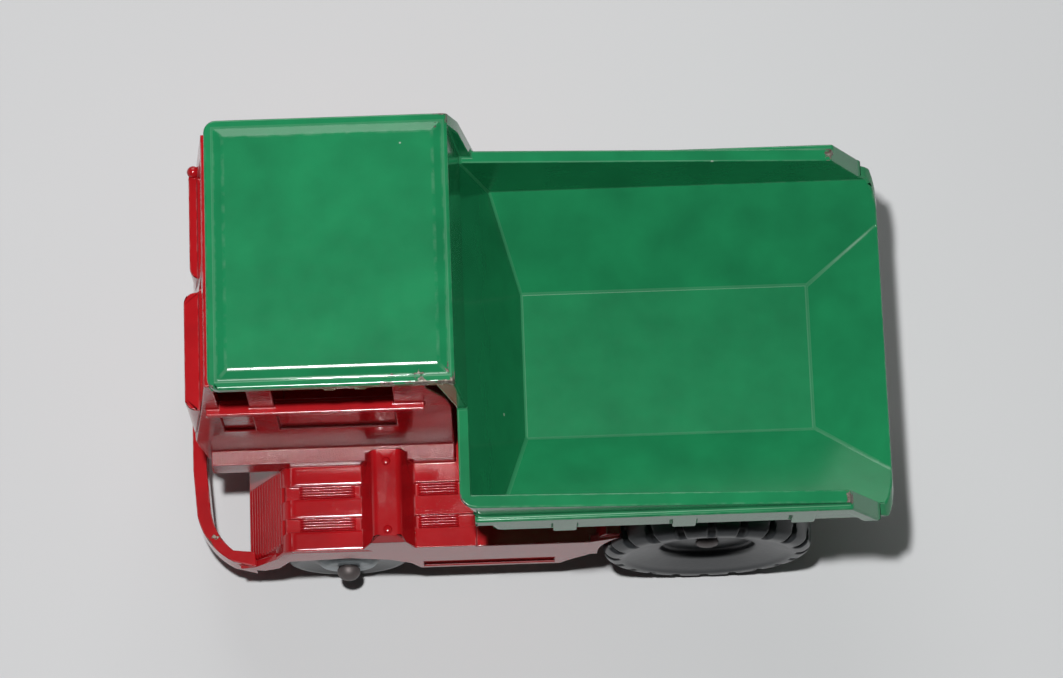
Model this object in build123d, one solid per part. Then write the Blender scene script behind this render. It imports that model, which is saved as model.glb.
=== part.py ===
from build123d import *
import os

# Toy dump truck. Front is -X, the driver's left is -Y, the floor is z = 0 and the origin lies on the
# floor under the middle of the truck. Millimetres.

# ----------------------------------------------------------------------------- driving dimensions
LENGTH = 59.8              # bumper to tail lip
WIDTH = 31.6               # over the ledges along the tub
FRONT = -LENGTH / 2
TAIL = LENGTH / 2
HALF = WIDTH / 2

# Wheels, axles and their fits
REAR_WHEEL_R = 9.0
REAR_WHEEL_W = 3.8
REAR_WHEEL_INSET = 0.1     # outer wheel face inside the overall width
REAR_HUB_R = 4.05          # round opening in the dished face
REAR_HUB_DEPTH = 1.5       # hub face below the outer wheel face
REAR_DISH_DEPTH = 0.8      # how far the face slopes in, down to the opening
REAR_SHOULDER = 0.8        # rounded edge of the tread
TREAD_SLITS = 20
TREAD_SLIT_W = 0.55
TREAD_SLIT_DEPTH = 0.5
FRONT_WHEEL_R = 5.4
FRONT_WHEEL_W = 3.6
FRONT_WHEEL_INSET = 1.3
FRONT_SHOULDER = 0.9
FRONT_RING_R = 2.25        # raised ring around the hub
FRONT_RING_PROUD = 0.3
AXLE_R = 0.8
AXLE_HEAD_LIP = 0.2        # head beyond the axle's own radius
FRONT_HEAD_H = 1.1
REAR_HEAD_H = 0.6
AXLE_CLEARANCE = 0.06      # radial, axle in the casting
WHEEL_CLEARANCE = 0.08     # radial, wheel on the axle
END_CLEARANCE = 0.1        # along the axle, at each side of a wheel
REAR_AXLE_X = TAIL - 15.4
FRONT_AXLE_X = FRONT + 13.25

# Tub of the dump body
TUB_WHEEL_GAP = 0.45       # tub underside above the inner edge of the rear tyre
LEDGE_W = 0.5              # ledge beyond the outer wall
TUB_WALL = 1.1
TUB_FLOOR_T = 1.07         # upright thickness of the floor and the flared sides
TUB_FLOOR_HALF = 6.38
FLARE = 0.639              # rise of the flared sides per millimetre outwards
FRONT_WALL_T = 0.9         # along X
FRONT_WALL_X = FRONT + 28.98   # foot of the front wall, inside
FRONT_FOOT_RUN = 2.47      # how far the lower front wall leans forward
FRONT_RAKE = 0.273         # lean of the upper front wall per millimetre of height
RIM_FRONT_H = 13.45        # rim above the tub floor, at the front wall
RIM_REAR_H = 10.55         # rim above the tub floor, where the side wall ends
SIDE_END_RUN = 4.3         # side wall ends this far ahead of the tail lip
CHUTE_RUN = 6.1
CHUTE_RISE = 2.85
CHUTE_T = 1.0
TAIL_CORNER_RUN = 1.6
TAIL_CORNER_H = 5.6        # tail corner above the tub floor
FRONT_CORNER_R = 1.2
LEDGE_TOP_H = 10.2
LEDGE_H = 1.6
RIB_H = 4.0
RIB_W = 1.95
RIBS = 3

# Canopy and headboard
CANOPY_FRONT = FRONT + 3.5
CANOPY_OVERHANG = 0.6      # canopy beyond the cab's left wall
CANOPY_H = 22.5            # canopy top above the tub floor
CANOPY_T = 1.3
CANOPY_BORDER = 0.75
CANOPY_PLATEAU = 0.35
CANOPY_SLOPE = 0.8         # run of the slope around the raised middle
CANOPY_CORNER_R = 1.0
HEADBOARD_TOP_T = 1.65
HEADBOARD_RAKE = 0.104     # lean of the headboard's rear face per millimetre of height
GUSSET_REACH = 0.6
TAB_H = 0.5
TAB_STARTS = (12.7, 15.2)  # behind the front edge of the bumper
TAB_W = 1.1

# Tipping joint
PIN_X = TAIL - 9.9
PIN_ROOM = 0.27            # ear's round end to the tub's underside
PIN_R = 0.9
PIN_HEAD_LIP = 0.6
PIN_HEAD_H = 0.5
PIN_FIT = 0.02             # radial, pin held in the frame
LUG_FIT = 0.06             # radial, lug turning on the pin
LUG_WALL = 0.9             # metal around the pin in each ear
LUG_T = 1.5
LUG_GAP = 0.3

# Chassis casting
WALL = 0.9                 # cab walls and cross walls
SIDE_T = 0.6               # side plates
DECK_T = 1.0
SIDE_INSET = 0.8           # side plates inside the overall width
DECK_GAP = 0.2             # tub underside above the frame
SILL_DROP = 1.73           # sill top below the tub's underside
SILL_BOTTOM = 5.1
SILL_BAND = (5.8, 7.7)     # recessed band along the sill
SILL_BAND_DEPTH = 0.25
ARCH_GAP = 0.5             # rear tyre to its arch
FRONT_ARCH_GAP = 0.15      # front tyre to the casting around it
ARCH_T = 1.0
SPINE_HALF = 4.0
SPINE_BOTTOM = 7.0
SPINE_WALL = 1.1
BEAM_WALL = 1.15           # metal around the rear axle's bore
BEAM_GAP = 0.4             # beam end to the wheel
BEARER_WALL = 0.65         # metal around the front axle's bore
BEARER_T = 2.3
DECK_WHEEL_GAP = 0.4       # front wheel under the deck

# Bonnet
BONNET_FRONT = FRONT + 8.3
BONNET_REAR = FRONT + 24.5
BONNET_FOOT = FRONT + 4.7
BAND_T = 0.3
BANDS = 3                  # raised bands along the bonnet
BAND_GROOVE = 1.15         # between two bands
BOX_FRONT = FRONT + 14.65
BOX_REAR = FRONT + 19.45
BOX_SLOPE = 1.2
BOX_H = 3.5
BOX_EDGE_R = 0.6
BOX_END_DROP = 0.9         # slope at the outer end of the box
BOX_END_RUN = 0.45
BUMP_R = 0.28
BUMP_H = 0.1
BUMP_INSET = 0.5           # bump centre in from each end of the box's top

# Cab
CAB_LEFT = -6.3
CAB_FRONT_FOOT = FRONT + 1.1
CAB_FRONT_FOOT_H = 5.8     # the rake starts this far above the chassis deck
CAB_RAKE = 0.1158          # lean of the windscreen per millimetre of height
CAB_REAR = FRONT + 22.9
CAB_ROOF_GAP = 0.3         # roof under the canopy
CAB_SHOULDER_H = 2.9
CAB_SHOULDER_RUN = 1.9
CAB_WAIST_H = 6.2
STEP_W = 1.3               # ledge along the foot of the cab
STEP_H = 1.8
STEP_FRONT = FRONT + 2.1
SILL_H_CAB = 16.5          # window sill above the chassis deck
WINDOW_H = 5.4
QUARTER_WINDOW = (3.8, 6.35)
DOOR_WINDOW = (8.4, 18.2)
SCREEN_POST = 1.1
RIDGE_PROUD = 0.6          # sill ridge under the side windows
WINDOW_LIP = 0.4           # wall left along the foot of a side window
WINDOW_LIP_H = 0.9
RIDGE_H = 0.8
PANEL_DEPTH = 0.3
NOSE_PROUD = (1.0, 1.55)   # left and right nose panel behind the bumper's front
NOSE_BOTTOM_H = 2.0
NOSE_TOP_H = 15.8
NOSE_SPLIT = (3.9, 5.0)
NOSE_LEFT = -6.2
NOSE_R = 1.0
KNOB_R = 0.35

# Bumper
BUMPER_TOP = 8.0
BUMPER_H = 3.0
BUMPER_T = 1.2
BUMPER_BOW = 0.3           # how far the straight part falls back at its ends
BUMPER_FLAT = 6.2
BUMPER_BEND = 10.3         # the end bends start this far from the middle
BUMPER_END_RUN = 3.4
BRACKET_HALF = 4.0

# Base plate and rivets
PLATE_T = 0.6
PLATE_FRONT = FRONT_AXLE_X + 2.2
PLATE_NECK_GAP = 2.2       # plate to the front wheels
PLATE_SIDE_GAP = 0.2
POST_R = 1.8
RIVET_R = 0.8
RIVET_HEAD_R = 1.4         # countersunk flush with the plate's underside
RIVET_DEPTH = 2.5
RIVET_HOLE_FIT = 0.05
RIVET_XS = (FRONT + 17.4, FRONT + 27.9)

# ----------------------------------------------------------------------------- places worked out
REAR_WHEEL_OUT = HALF - REAR_WHEEL_INSET
REAR_WHEEL_IN = REAR_WHEEL_OUT - REAR_WHEEL_W
REAR_HUB_FACE = REAR_WHEEL_OUT - REAR_HUB_DEPTH
FRONT_WHEEL_OUT = HALF - FRONT_WHEEL_INSET
FRONT_WHEEL_IN = FRONT_WHEEL_OUT - FRONT_WHEEL_W
FRONT_RING_FACE = FRONT_WHEEL_OUT + FRONT_RING_PROUD
AXLE_BORE = AXLE_R + AXLE_CLEARANCE

TUB_OUT = HALF - LEDGE_W
TUB_IN = TUB_OUT - TUB_WALL
TUB_BASE = 2 * REAR_WHEEL_R + TUB_WHEEL_GAP - FLARE * (REAR_WHEEL_IN - TUB_FLOOR_HALF)
TUB_FLOOR = TUB_BASE + TUB_FLOOR_T
CREASE_IN = TUB_FLOOR + FLARE * (TUB_IN - TUB_FLOOR_HALF)
CREASE_OUT = TUB_BASE + FLARE * (TUB_OUT - TUB_FLOOR_HALF)
RIM_FRONT = TUB_FLOOR + RIM_FRONT_H
RIM_REAR = TUB_FLOOR + RIM_REAR_H
SIDE_END = TAIL - SIDE_END_RUN
TAIL_CORNER = (TAIL - TAIL_CORNER_RUN, TUB_FLOOR + TAIL_CORNER_H)
CHUTE_START = TAIL - CHUTE_RUN
LIP_TOP = TUB_FLOOR + CHUTE_RISE
CHUTE_SLOPE = CHUTE_RISE / CHUTE_RUN
LEDGE_TOP = TUB_FLOOR + LEDGE_TOP_H
LEDGE_BOTTOM = LEDGE_TOP - LEDGE_H
FIRST_RIB = FRONT_WALL_X + 2.97
LAST_RIB = TAIL - 8.03

CANOPY_TOP = TUB_FLOOR + CANOPY_H
CANOPY_UNDER = CANOPY_TOP - CANOPY_T
CANOPY_LEFT = CAB_LEFT - CANOPY_OVERHANG

PIN_Z = TUB_BASE - (PIN_R + LUG_FIT + LUG_WALL) - PIN_ROOM
SIDE = HALF - SIDE_INSET
DECK_TOP = TUB_BASE - DECK_GAP
SILL_TOP = max(TUB_BASE - SILL_DROP, 2 * FRONT_WHEEL_R + DECK_WHEEL_GAP + DECK_T)
ROOF = CANOPY_UNDER - CAB_ROOF_GAP
WINDOW_SILL = SILL_TOP + SILL_H_CAB
CAB_FRONT_FOOT_Z = SILL_TOP + CAB_FRONT_FOOT_H
LUG_R = PIN_R + LUG_FIT + LUG_WALL
LUG_IN = SPINE_HALF + LUG_GAP
LUG_OUT = LUG_IN + LUG_T


def front_wall_x(z):
    """Inner face of the tub's front wall at height z, above the crease."""
    return FRONT_WALL_X - FRONT_FOOT_RUN - FRONT_RAKE * (z - CREASE_IN)


def headboard_x(z):
    """Rear face of the headboard at height z, above the rim."""
    return front_wall_x(RIM_FRONT) - HEADBOARD_RAKE * (z - RIM_FRONT)


def cab_front_x(z):
    """Outer face of the raked cab front at height z."""
    return CAB_FRONT_FOOT + CAB_RAKE * (z - CAB_FRONT_FOOT_Z)


# ----------------------------------------------------------------------------- shape helpers
def side_view(points, y0, y1):
    """Solid from y0 to y1 with the closed outline of (x, z) points."""
    wire = Wire.make_polygon([(x, y0, z) for x, z in points], close=True)
    return extrude(Face(wire), amount=y1 - y0, dir=(0, 1, 0))


def end_view(points, x0, x1):
    """Solid from x0 to x1 with the closed outline of (y, z) points."""
    wire = Wire.make_polygon([(x0, y, z) for y, z in points], close=True)
    return extrude(Face(wire), amount=x1 - x0, dir=(1, 0, 0))


def plan_view(points, z0, z1):
    """Solid from z0 to z1 with the closed outline of (x, y) points."""
    wire = Wire.make_polygon([(x, y, z0) for x, y in points], close=True)
    return extrude(Face(wire), amount=z1 - z0, dir=(0, 0, 1))


def block(x0, x1, y0, y1, z0, z1):
    """Box between two opposite corners."""
    box = Box(x1 - x0, y1 - y0, z1 - z0)
    return Pos((x0 + x1) / 2, (y0 + y1) / 2, (z0 + z1) / 2) * box


def rod(x, z, radius, y0, y1):
    """Cylinder along Y from y0 to y1."""
    return Pos(x, (y0 + y1) / 2, z) * Rot(90, 0, 0) * Cylinder(radius, y1 - y0)


def both_sides(shape):
    """The shape and its mirror image on the other side of the truck."""
    return shape + mirror(shape, about=Plane.XZ)


# ----------------------------------------------------------------------------- dump body
def tub_silhouette(y0, y1):
    """Outer side view of the tub, with the rounded tail corner."""
    rim_front_x = front_wall_x(RIM_FRONT) - FRONT_WALL_T
    crease_x = FRONT_WALL_X - FRONT_FOOT_RUN - FRONT_WALL_T
    foot_x = FRONT_WALL_X - FRONT_WALL_T / 2
    lip_under = LIP_TOP - CHUTE_T
    chute_under_x = TAIL - (lip_under - TUB_BASE) / CHUTE_SLOPE
    outline = Polyline(
        (TAIL_CORNER[0], y0, TAIL_CORNER[1]),
        (SIDE_END, y0, RIM_REAR),
        (rim_front_x, y0, RIM_FRONT),
        (crease_x, y0, CREASE_OUT),
        (foot_x, y0, TUB_BASE),
        (chute_under_x, y0, TUB_BASE),
        (TAIL, y0, lip_under),
        (TAIL, y0, LIP_TOP),
    )
    middle_x = TAIL - TAIL_CORNER_RUN / 4
    middle_z = (LIP_TOP + TAIL_CORNER[1]) / 2 + 0.1
    corner = ThreePointArc(
        (TAIL, y0, LIP_TOP),
        (middle_x, y0, middle_z),
        (TAIL_CORNER[0], y0, TAIL_CORNER[1]),
    )
    face = Face(Wire([*outline.edges(), *corner.edges()]))
    return extrude(face, amount=y1 - y0, dir=(0, 1, 0))


def tub():
    """Open tub: flared sides, raked front wall, and a tail chute with no gate."""
    above = RIM_FRONT + 5
    outer_end = [
        (-TUB_OUT, above), (-TUB_OUT, CREASE_OUT), (-TUB_FLOOR_HALF, TUB_BASE),
        (TUB_FLOOR_HALF, TUB_BASE), (TUB_OUT, CREASE_OUT), (TUB_OUT, above),
    ]
    inner_end = [
        (-TUB_IN, above), (-TUB_IN, CREASE_IN), (-TUB_FLOOR_HALF, TUB_FLOOR),
        (TUB_FLOOR_HALF, TUB_FLOOR), (TUB_IN, CREASE_IN), (TUB_IN, above),
    ]
    inner_side = [
        (front_wall_x(above), above), (front_wall_x(CREASE_IN), CREASE_IN),
        (FRONT_WALL_X, TUB_FLOOR), (CHUTE_START, TUB_FLOOR),
        (TAIL + 3, LIP_TOP + 3 * CHUTE_SLOPE), (TAIL + 3, above),
    ]
    shell = tub_silhouette(-HALF, HALF) & end_view(outer_end, FRONT, TAIL + 1)
    corners = [
        edge for edge in shell.edges()
        if abs(abs(edge.center().Y) - TUB_OUT) < 0.01
        and edge.center().X < front_wall_x(RIM_FRONT) + FRONT_RAKE * (RIM_FRONT - CREASE_OUT)
        and edge.length > 0.6 * (RIM_FRONT - CREASE_OUT)
        and abs(edge.tangent_at(0.5).Z) > 0.8
    ]
    shell = fillet(corners, FRONT_CORNER_R)
    cavity = side_view(inner_side, -HALF, HALF) & end_view(inner_end, FRONT, TAIL + 4)
    return shell - cavity


def tub_trim():
    """Ledges, ribs and tail end ribs on the outside of the walls."""
    inside = TUB_OUT - TUB_WALL / 4
    ledge_front = front_wall_x(RIM_FRONT) - FRONT_WALL_T + FRONT_CORNER_R
    trim = block(ledge_front, TAIL, inside, HALF, LEDGE_BOTTOM, LEDGE_TOP)
    rib_outline = [
        (inside, LEDGE_BOTTOM + 0.1), (HALF, LEDGE_BOTTOM + 0.1),
        (HALF, LEDGE_BOTTOM - RIB_H * 0.7), (inside, LEDGE_BOTTOM - RIB_H),
    ]
    for index in range(RIBS):
        centre = FIRST_RIB + index * (LAST_RIB - FIRST_RIB) / (RIBS - 1)
        trim += end_view(rib_outline, centre - RIB_W / 2, centre + RIB_W / 2)
    end_rib = [
        (SIDE_END - 0.8, LEDGE_TOP), (SIDE_END + 1, LEDGE_TOP),
        (TAIL_CORNER[0] + 0.5, TAIL_CORNER[1]), (TAIL_CORNER[0] - 1.2, TAIL_CORNER[1] - 0.3),
    ]
    trim += side_view(end_rib, inside, HALF)
    trim = trim & tub_silhouette(-HALF, HALF)
    return both_sides(trim)


def canopy():
    """Roof plate with a raised middle inside a narrow border, and two small tabs underneath."""
    rear = headboard_x(CANOPY_TOP)
    plateau_z = CANOPY_TOP - CANOPY_PLATEAU
    border = block(CANOPY_FRONT, rear, CANOPY_LEFT, HALF, CANOPY_UNDER, plateau_z)
    front_corners = border.edges().filter_by(Axis.Z).group_by(Axis.X)[0]
    border = fillet(front_corners, CANOPY_CORNER_R)
    front_x, rear_x = CANOPY_FRONT + CANOPY_BORDER, rear - CANOPY_BORDER / 2
    left_y, right_y = CANOPY_LEFT + CANOPY_BORDER, HALF - CANOPY_BORDER
    middle = Pos((front_x + rear_x) / 2, (left_y + right_y) / 2, 0)
    foot = Rectangle(rear_x - front_x, right_y - left_y)
    head = Rectangle(rear_x - front_x - 2 * CANOPY_SLOPE, right_y - left_y - 2 * CANOPY_SLOPE)
    plateau = loft([middle * Pos(0, 0, plateau_z) * foot, middle * Pos(0, 0, CANOPY_TOP) * head], ruled=True)
    roof = border + plateau
    for start in TAB_STARTS:
        x0 = FRONT + start
        roof += block(
            x0, x0 + TAB_W, CANOPY_LEFT, CANOPY_LEFT + 0.35,
            CANOPY_UNDER - TAB_H, CANOPY_UNDER + 0.1)
    return roof


def headboard():
    """Raked wall that carries the canopy on the tub's front wall, with a gusset at its right end."""
    root = RIM_FRONT - 0.6
    top = CANOPY_TOP - CANOPY_PLATEAU
    front_top = headboard_x(CANOPY_UNDER) - HEADBOARD_TOP_T
    wall = [
        (front_top, CANOPY_UNDER + 0.1), (headboard_x(top), top),
        (headboard_x(RIM_FRONT), RIM_FRONT), (front_wall_x(root), root),
        (front_wall_x(root) - FRONT_WALL_T, root), (front_wall_x(RIM_FRONT) - FRONT_WALL_T, RIM_FRONT),
    ]
    board = side_view(wall, CANOPY_LEFT, TUB_OUT)
    foot = RIM_FRONT - 2.5
    gusset = [
        (front_top, CANOPY_UNDER + 0.1), (headboard_x(top), top),
        (headboard_x(top) + GUSSET_REACH * 1.5, top - 2.5),
        (front_wall_x(foot) + GUSSET_REACH, foot), (front_wall_x(foot) - FRONT_WALL_T / 2, foot - 0.4),
        (front_wall_x(RIM_FRONT) - FRONT_WALL_T + FRONT_CORNER_R / 2, RIM_FRONT - 1),
        (front_wall_x(RIM_FRONT) - FRONT_WALL_T, RIM_FRONT),
    ]
    board += side_view(gusset, TUB_OUT - TUB_WALL / 2, HALF)
    return board


def lugs():
    """Two ears under the tub that turn on the tipping pin."""
    ear = rod(PIN_X, PIN_Z, LUG_R, LUG_IN, LUG_OUT)
    web = [
        (PIN_X - LUG_R, PIN_Z), (PIN_X - LUG_R - 0.4, TUB_BASE + 0.3),
        (PIN_X + LUG_R + 0.4, TUB_BASE + 0.3), (PIN_X + LUG_R, PIN_Z),
    ]
    ear += side_view(web, LUG_IN, LUG_OUT)
    ear -= rod(PIN_X, PIN_Z, PIN_R + LUG_FIT, LUG_IN - 1, LUG_OUT + 1)
    return both_sides(ear)


def dump_body():
    """The green casting: tub, trim, headboard, canopy and tipping ears."""
    return tub() + tub_trim() + headboard() + canopy() + lugs()


# ----------------------------------------------------------------------------- red casting
def wheel_arch_cut():
    """Room for all four wheels, cut from anything beside them."""
    cut = rod(REAR_AXLE_X, REAR_WHEEL_R, REAR_WHEEL_R + ARCH_GAP, REAR_WHEEL_IN - ARCH_GAP, HALF + 1)
    gap = FRONT_ARCH_GAP
    cut += rod(
        FRONT_AXLE_X, FRONT_WHEEL_R, FRONT_WHEEL_R + gap, FRONT_WHEEL_IN - gap, FRONT_WHEEL_OUT + gap)
    return both_sides(cut)


def side_plates():
    """Side plates with the sill, the front arch and the tip over the rear wheel."""
    arch_x = REAR_AXLE_X - REAR_WHEEL_R
    tip_z = DECK_TOP
    hub = FRONT_WHEEL_R
    outline = [
        (FRONT + 3.9, 7.2), (FRONT + 5.3, BUMPER_TOP - 0.2), (FRONT + 7.9, SILL_TOP - 1.65),
        (FRONT + 9.3, SILL_TOP - 0.3), (FRONT + 10.5, SILL_TOP), (arch_x - 1.2, SILL_TOP),
        (arch_x + 1.5, tip_z), (arch_x + 3.0, tip_z), (arch_x + 0.5, REAR_WHEEL_R - 0.6),
        (arch_x - 1.1, REAR_WHEEL_R - 0.6), (arch_x - 3.0, SILL_BOTTOM + 1.1),
        (arch_x - 3.7, SILL_BOTTOM), (FRONT_AXLE_X + 6.35, SILL_BOTTOM),
        (FRONT_AXLE_X + 5.45, hub + 1.85), (FRONT_AXLE_X + 3.7, hub + 3.4),
        (FRONT_AXLE_X + 0.3, hub + 4.6), (FRONT_AXLE_X - 4.9, hub + 4.0),
        (FRONT_AXLE_X - 5.95, hub + 1.45), (FRONT_AXLE_X - 7.25, hub + 0.6),
    ]
    plates = side_view(outline, SIDE - SIDE_T, SIDE)
    band_start = FRONT_AXLE_X + 6.6
    band_end = arch_x - 4.2
    plates -= block(
        band_start, band_end, SIDE - SILL_BAND_DEPTH, SIDE + 1, SILL_BAND[0], SILL_BAND[1])
    return both_sides(plates)


def frame():
    """Deck, radiator slope, cross walls, spine, rear arches and the axle bearers."""
    inner = SIDE - SIDE_T / 2
    radiator = [
        (BONNET_FOOT, SILL_BOTTOM), (BONNET_FRONT, SILL_TOP), (BONNET_FRONT + DECK_T, SILL_TOP),
        (BONNET_FRONT + DECK_T, SILL_TOP - DECK_T), (BONNET_FOOT + DECK_T, SILL_BOTTOM),
    ]
    casting = side_view(radiator, -inner, inner)
    casting += block(BONNET_FRONT, BONNET_REAR, -inner, inner, SILL_TOP - DECK_T, SILL_TOP)
    casting += block(BONNET_REAR - WALL, BONNET_REAR, -inner, inner, SILL_BOTTOM, SILL_TOP)
    arch_middle = REAR_WHEEL_R + ARCH_GAP + ARCH_T / 2
    rise = SILL_TOP - DECK_T / 2 - REAR_WHEEL_R
    deck_end = REAR_AXLE_X - (arch_middle ** 2 - rise ** 2) ** 0.5
    casting += block(BONNET_REAR - WALL, deck_end, -inner, inner, SILL_TOP - DECK_T, SILL_TOP)

    arch_outer = rod(REAR_AXLE_X, REAR_WHEEL_R, REAR_WHEEL_R + ARCH_GAP + ARCH_T, -inner, inner)
    arch_inner = rod(REAR_AXLE_X, REAR_WHEEL_R, REAR_WHEEL_R + ARCH_GAP, -HALF, HALF)
    keep = block(
        REAR_AXLE_X - REAR_WHEEL_R - 3, REAR_AXLE_X - REAR_WHEEL_R * 0.6, -HALF, HALF,
        REAR_WHEEL_R - 0.6, DECK_TOP)
    casting += (arch_outer - arch_inner) & keep

    rear_end = [
        (BONNET_REAR - WALL, DECK_TOP), (PIN_X, DECK_TOP), (PIN_X, SPINE_BOTTOM + 2),
        (PIN_X - 2, SPINE_BOTTOM), (BONNET_REAR - WALL, SPINE_BOTTOM),
    ]
    spine = side_view(rear_end, -SPINE_HALF, SPINE_HALF)
    spine += rod(PIN_X, PIN_Z, DECK_TOP - PIN_Z, -SPINE_HALF, SPINE_HALF)
    hollow = block(
        BONNET_REAR, PIN_X - LUG_R, SPINE_WALL - SPINE_HALF, SPINE_HALF - SPINE_WALL,
        SPINE_BOTTOM - 1, DECK_TOP - DECK_T)
    casting += spine - hollow

    beam_end = REAR_WHEEL_IN - BEAM_GAP
    beam_half = AXLE_BORE + BEAM_WALL
    casting += block(
        REAR_AXLE_X - beam_half, REAR_AXLE_X + beam_half, -beam_end, beam_end,
        REAR_WHEEL_R - beam_half, REAR_WHEEL_R + beam_half)

    bearer_out = FRONT_WHEEL_IN - BEAM_GAP
    bearer_half = AXLE_BORE + BEARER_WALL
    bearer = block(
        FRONT_AXLE_X - bearer_half, FRONT_AXLE_X + bearer_half, bearer_out - BEARER_T, bearer_out,
        FRONT_WHEEL_R - bearer_half, SILL_TOP - DECK_T / 2)
    casting += both_sides(bearer)
    return casting


def rivet_posts():
    """Round posts that the base plate is riveted to."""
    posts = Part()
    for x, top in zip(RIVET_XS, (SILL_TOP, DECK_TOP)):
        height = top - DECK_T / 2 - SILL_BOTTOM
        posts += Pos(x, 0, SILL_BOTTOM + height / 2) * Cylinder(POST_R, height)
    return posts


def bonnet():
    """Raised bands and the cross box on top of the bonnet."""
    left = -SIDE
    right = CAB_LEFT - STEP_W
    band_w = (right - left - (BANDS - 1) * BAND_GROOVE) / BANDS
    detail = Part()
    for index in range(BANDS):
        y = left + index * (band_w + BAND_GROOVE)
        detail += block(
            BONNET_FRONT + 0.4, BONNET_REAR, y, y + band_w, SILL_TOP - 0.2, SILL_TOP + BAND_T)
    box_outline = [
        (BOX_FRONT, SILL_TOP - 0.2), (BOX_FRONT + BOX_SLOPE, SILL_TOP + BOX_H),
        (BOX_REAR - BOX_SLOPE, SILL_TOP + BOX_H), (BOX_REAR, SILL_TOP - 0.2),
    ]
    cross_box = side_view(box_outline, left, right + STEP_W / 2)
    top_edges = cross_box.faces().sort_by(Axis.Z)[-1].edges()
    cross_box = fillet(top_edges.filter_by(Axis.Y), BOX_EDGE_R)
    box_top = SILL_TOP + BOX_H
    end_outline = [
        (left, SILL_TOP - 0.2), (left, box_top - BOX_END_DROP), (left + BOX_END_RUN, box_top),
        (right + STEP_W, box_top), (right + STEP_W, SILL_TOP - 0.2),
    ]
    detail += cross_box & end_view(end_outline, BOX_FRONT, BOX_REAR)
    middle = (BOX_FRONT + BOX_REAR) / 2
    for y in (left + BOX_END_RUN + BUMP_INSET, right - BUMP_INSET):
        detail += Pos(middle, y, SILL_TOP + BOX_H) * Cylinder(BUMP_R, 2 * BUMP_H)
    return detail


def cab_outline(inset):
    """Side view of the cab, moved inwards by a wall thickness."""
    top = ROOF - inset
    foot = SILL_TOP - DECK_T + inset
    waist = ROOF - CAB_WAIST_H
    shoulder = ROOF - CAB_SHOULDER_H
    rear = CAB_REAR - inset
    return [
        (CAB_FRONT_FOOT + 0.6 + inset, foot), (cab_front_x(CAB_FRONT_FOOT_Z) + inset, CAB_FRONT_FOOT_Z),
        (cab_front_x(top) + inset, top), (rear - CAB_SHOULDER_RUN - 0.4, top),
        (rear - CAB_SHOULDER_RUN, shoulder), (rear - 0.5, waist), (rear, waist - 2.7), (rear, foot),
    ]


def cab():
    """Hollow half cab on the right, with unglazed windows and recessed panels."""
    shell = side_view(cab_outline(0), CAB_LEFT, SIDE)
    shell -= side_view(cab_outline(WALL), CAB_LEFT + WALL, SIDE - WALL)
    window_top = WINDOW_SILL + WINDOW_H
    for start, end in (QUARTER_WINDOW, DOOR_WINDOW):
        shell -= block(FRONT + start, FRONT + end, CAB_LEFT - 1, SIDE + 1, WINDOW_SILL, window_top)
    post_y = (NOSE_SPLIT[0] + NOSE_SPLIT[1]) / 2
    screens = (
        (CAB_LEFT + 1.5, post_y - SCREEN_POST / 2),
        (post_y + SCREEN_POST / 2, SIDE - 1.5),
    )
    for y0, y1 in screens:
        shell -= block(
            FRONT, cab_front_x(window_top) + 1.5 * WALL, y0, y1, WINDOW_SILL + 0.2, window_top)
    panel = (WINDOW_SILL - 8.0, WINDOW_SILL - 1.0)
    for start, end in (QUARTER_WINDOW, DOOR_WINDOW):
        for y0, y1 in ((CAB_LEFT - 1, CAB_LEFT + PANEL_DEPTH), (SIDE - PANEL_DEPTH, SIDE + 1)):
            shell -= block(FRONT + start, FRONT + end, y0, y1, panel[0], panel[1])
        for y0, y1 in ((CAB_LEFT + WINDOW_LIP, CAB_LEFT + 2 * WALL), (SIDE - 2 * WALL, SIDE - WINDOW_LIP)):
            shell -= block(FRONT + start, FRONT + end, y0, y1, WINDOW_SILL - WINDOW_LIP_H, WINDOW_SILL + 1)
    ridge_front = cab_front_x(WINDOW_SILL) + 0.4
    ridge_rear = FRONT + DOOR_WINDOW[1] + 2.5
    for y0, y1 in ((CAB_LEFT - RIDGE_PROUD, CAB_LEFT + WALL / 2), (SIDE - WALL / 2, SIDE + RIDGE_PROUD)):
        shell += block(ridge_front, ridge_rear, y0, y1, WINDOW_SILL - RIDGE_H, WINDOW_SILL)
    shell += block(
        STEP_FRONT, CAB_REAR, CAB_LEFT - STEP_W, CAB_LEFT + WALL / 2,
        SILL_TOP - DECK_T, SILL_TOP + STEP_H)
    return shell


def nose():
    """Two raised panels across the front of the cab under the windscreen, and a small lamp knob."""
    bottom = SILL_TOP + NOSE_BOTTOM_H
    top = SILL_TOP + NOSE_TOP_H
    panels = Part()
    sides = ((NOSE_LEFT, NOSE_SPLIT[0]), (NOSE_SPLIT[1], SIDE - 0.4))
    for proud, (y0, y1) in zip(NOSE_PROUD, sides):
        panel = block(FRONT + proud, cab_front_x(top) + WALL / 2, y0, y1, bottom, top)
        panels += fillet(panel.edges().filter_by(Axis.Z).group_by(Axis.X)[0], NOSE_R)
    panels += Pos(cab_front_x(top) - 0.3, SIDE - 0.7, top) * Rot(0, 0, 180) * Sphere(KNOB_R * 1.5)
    return panels


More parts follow.
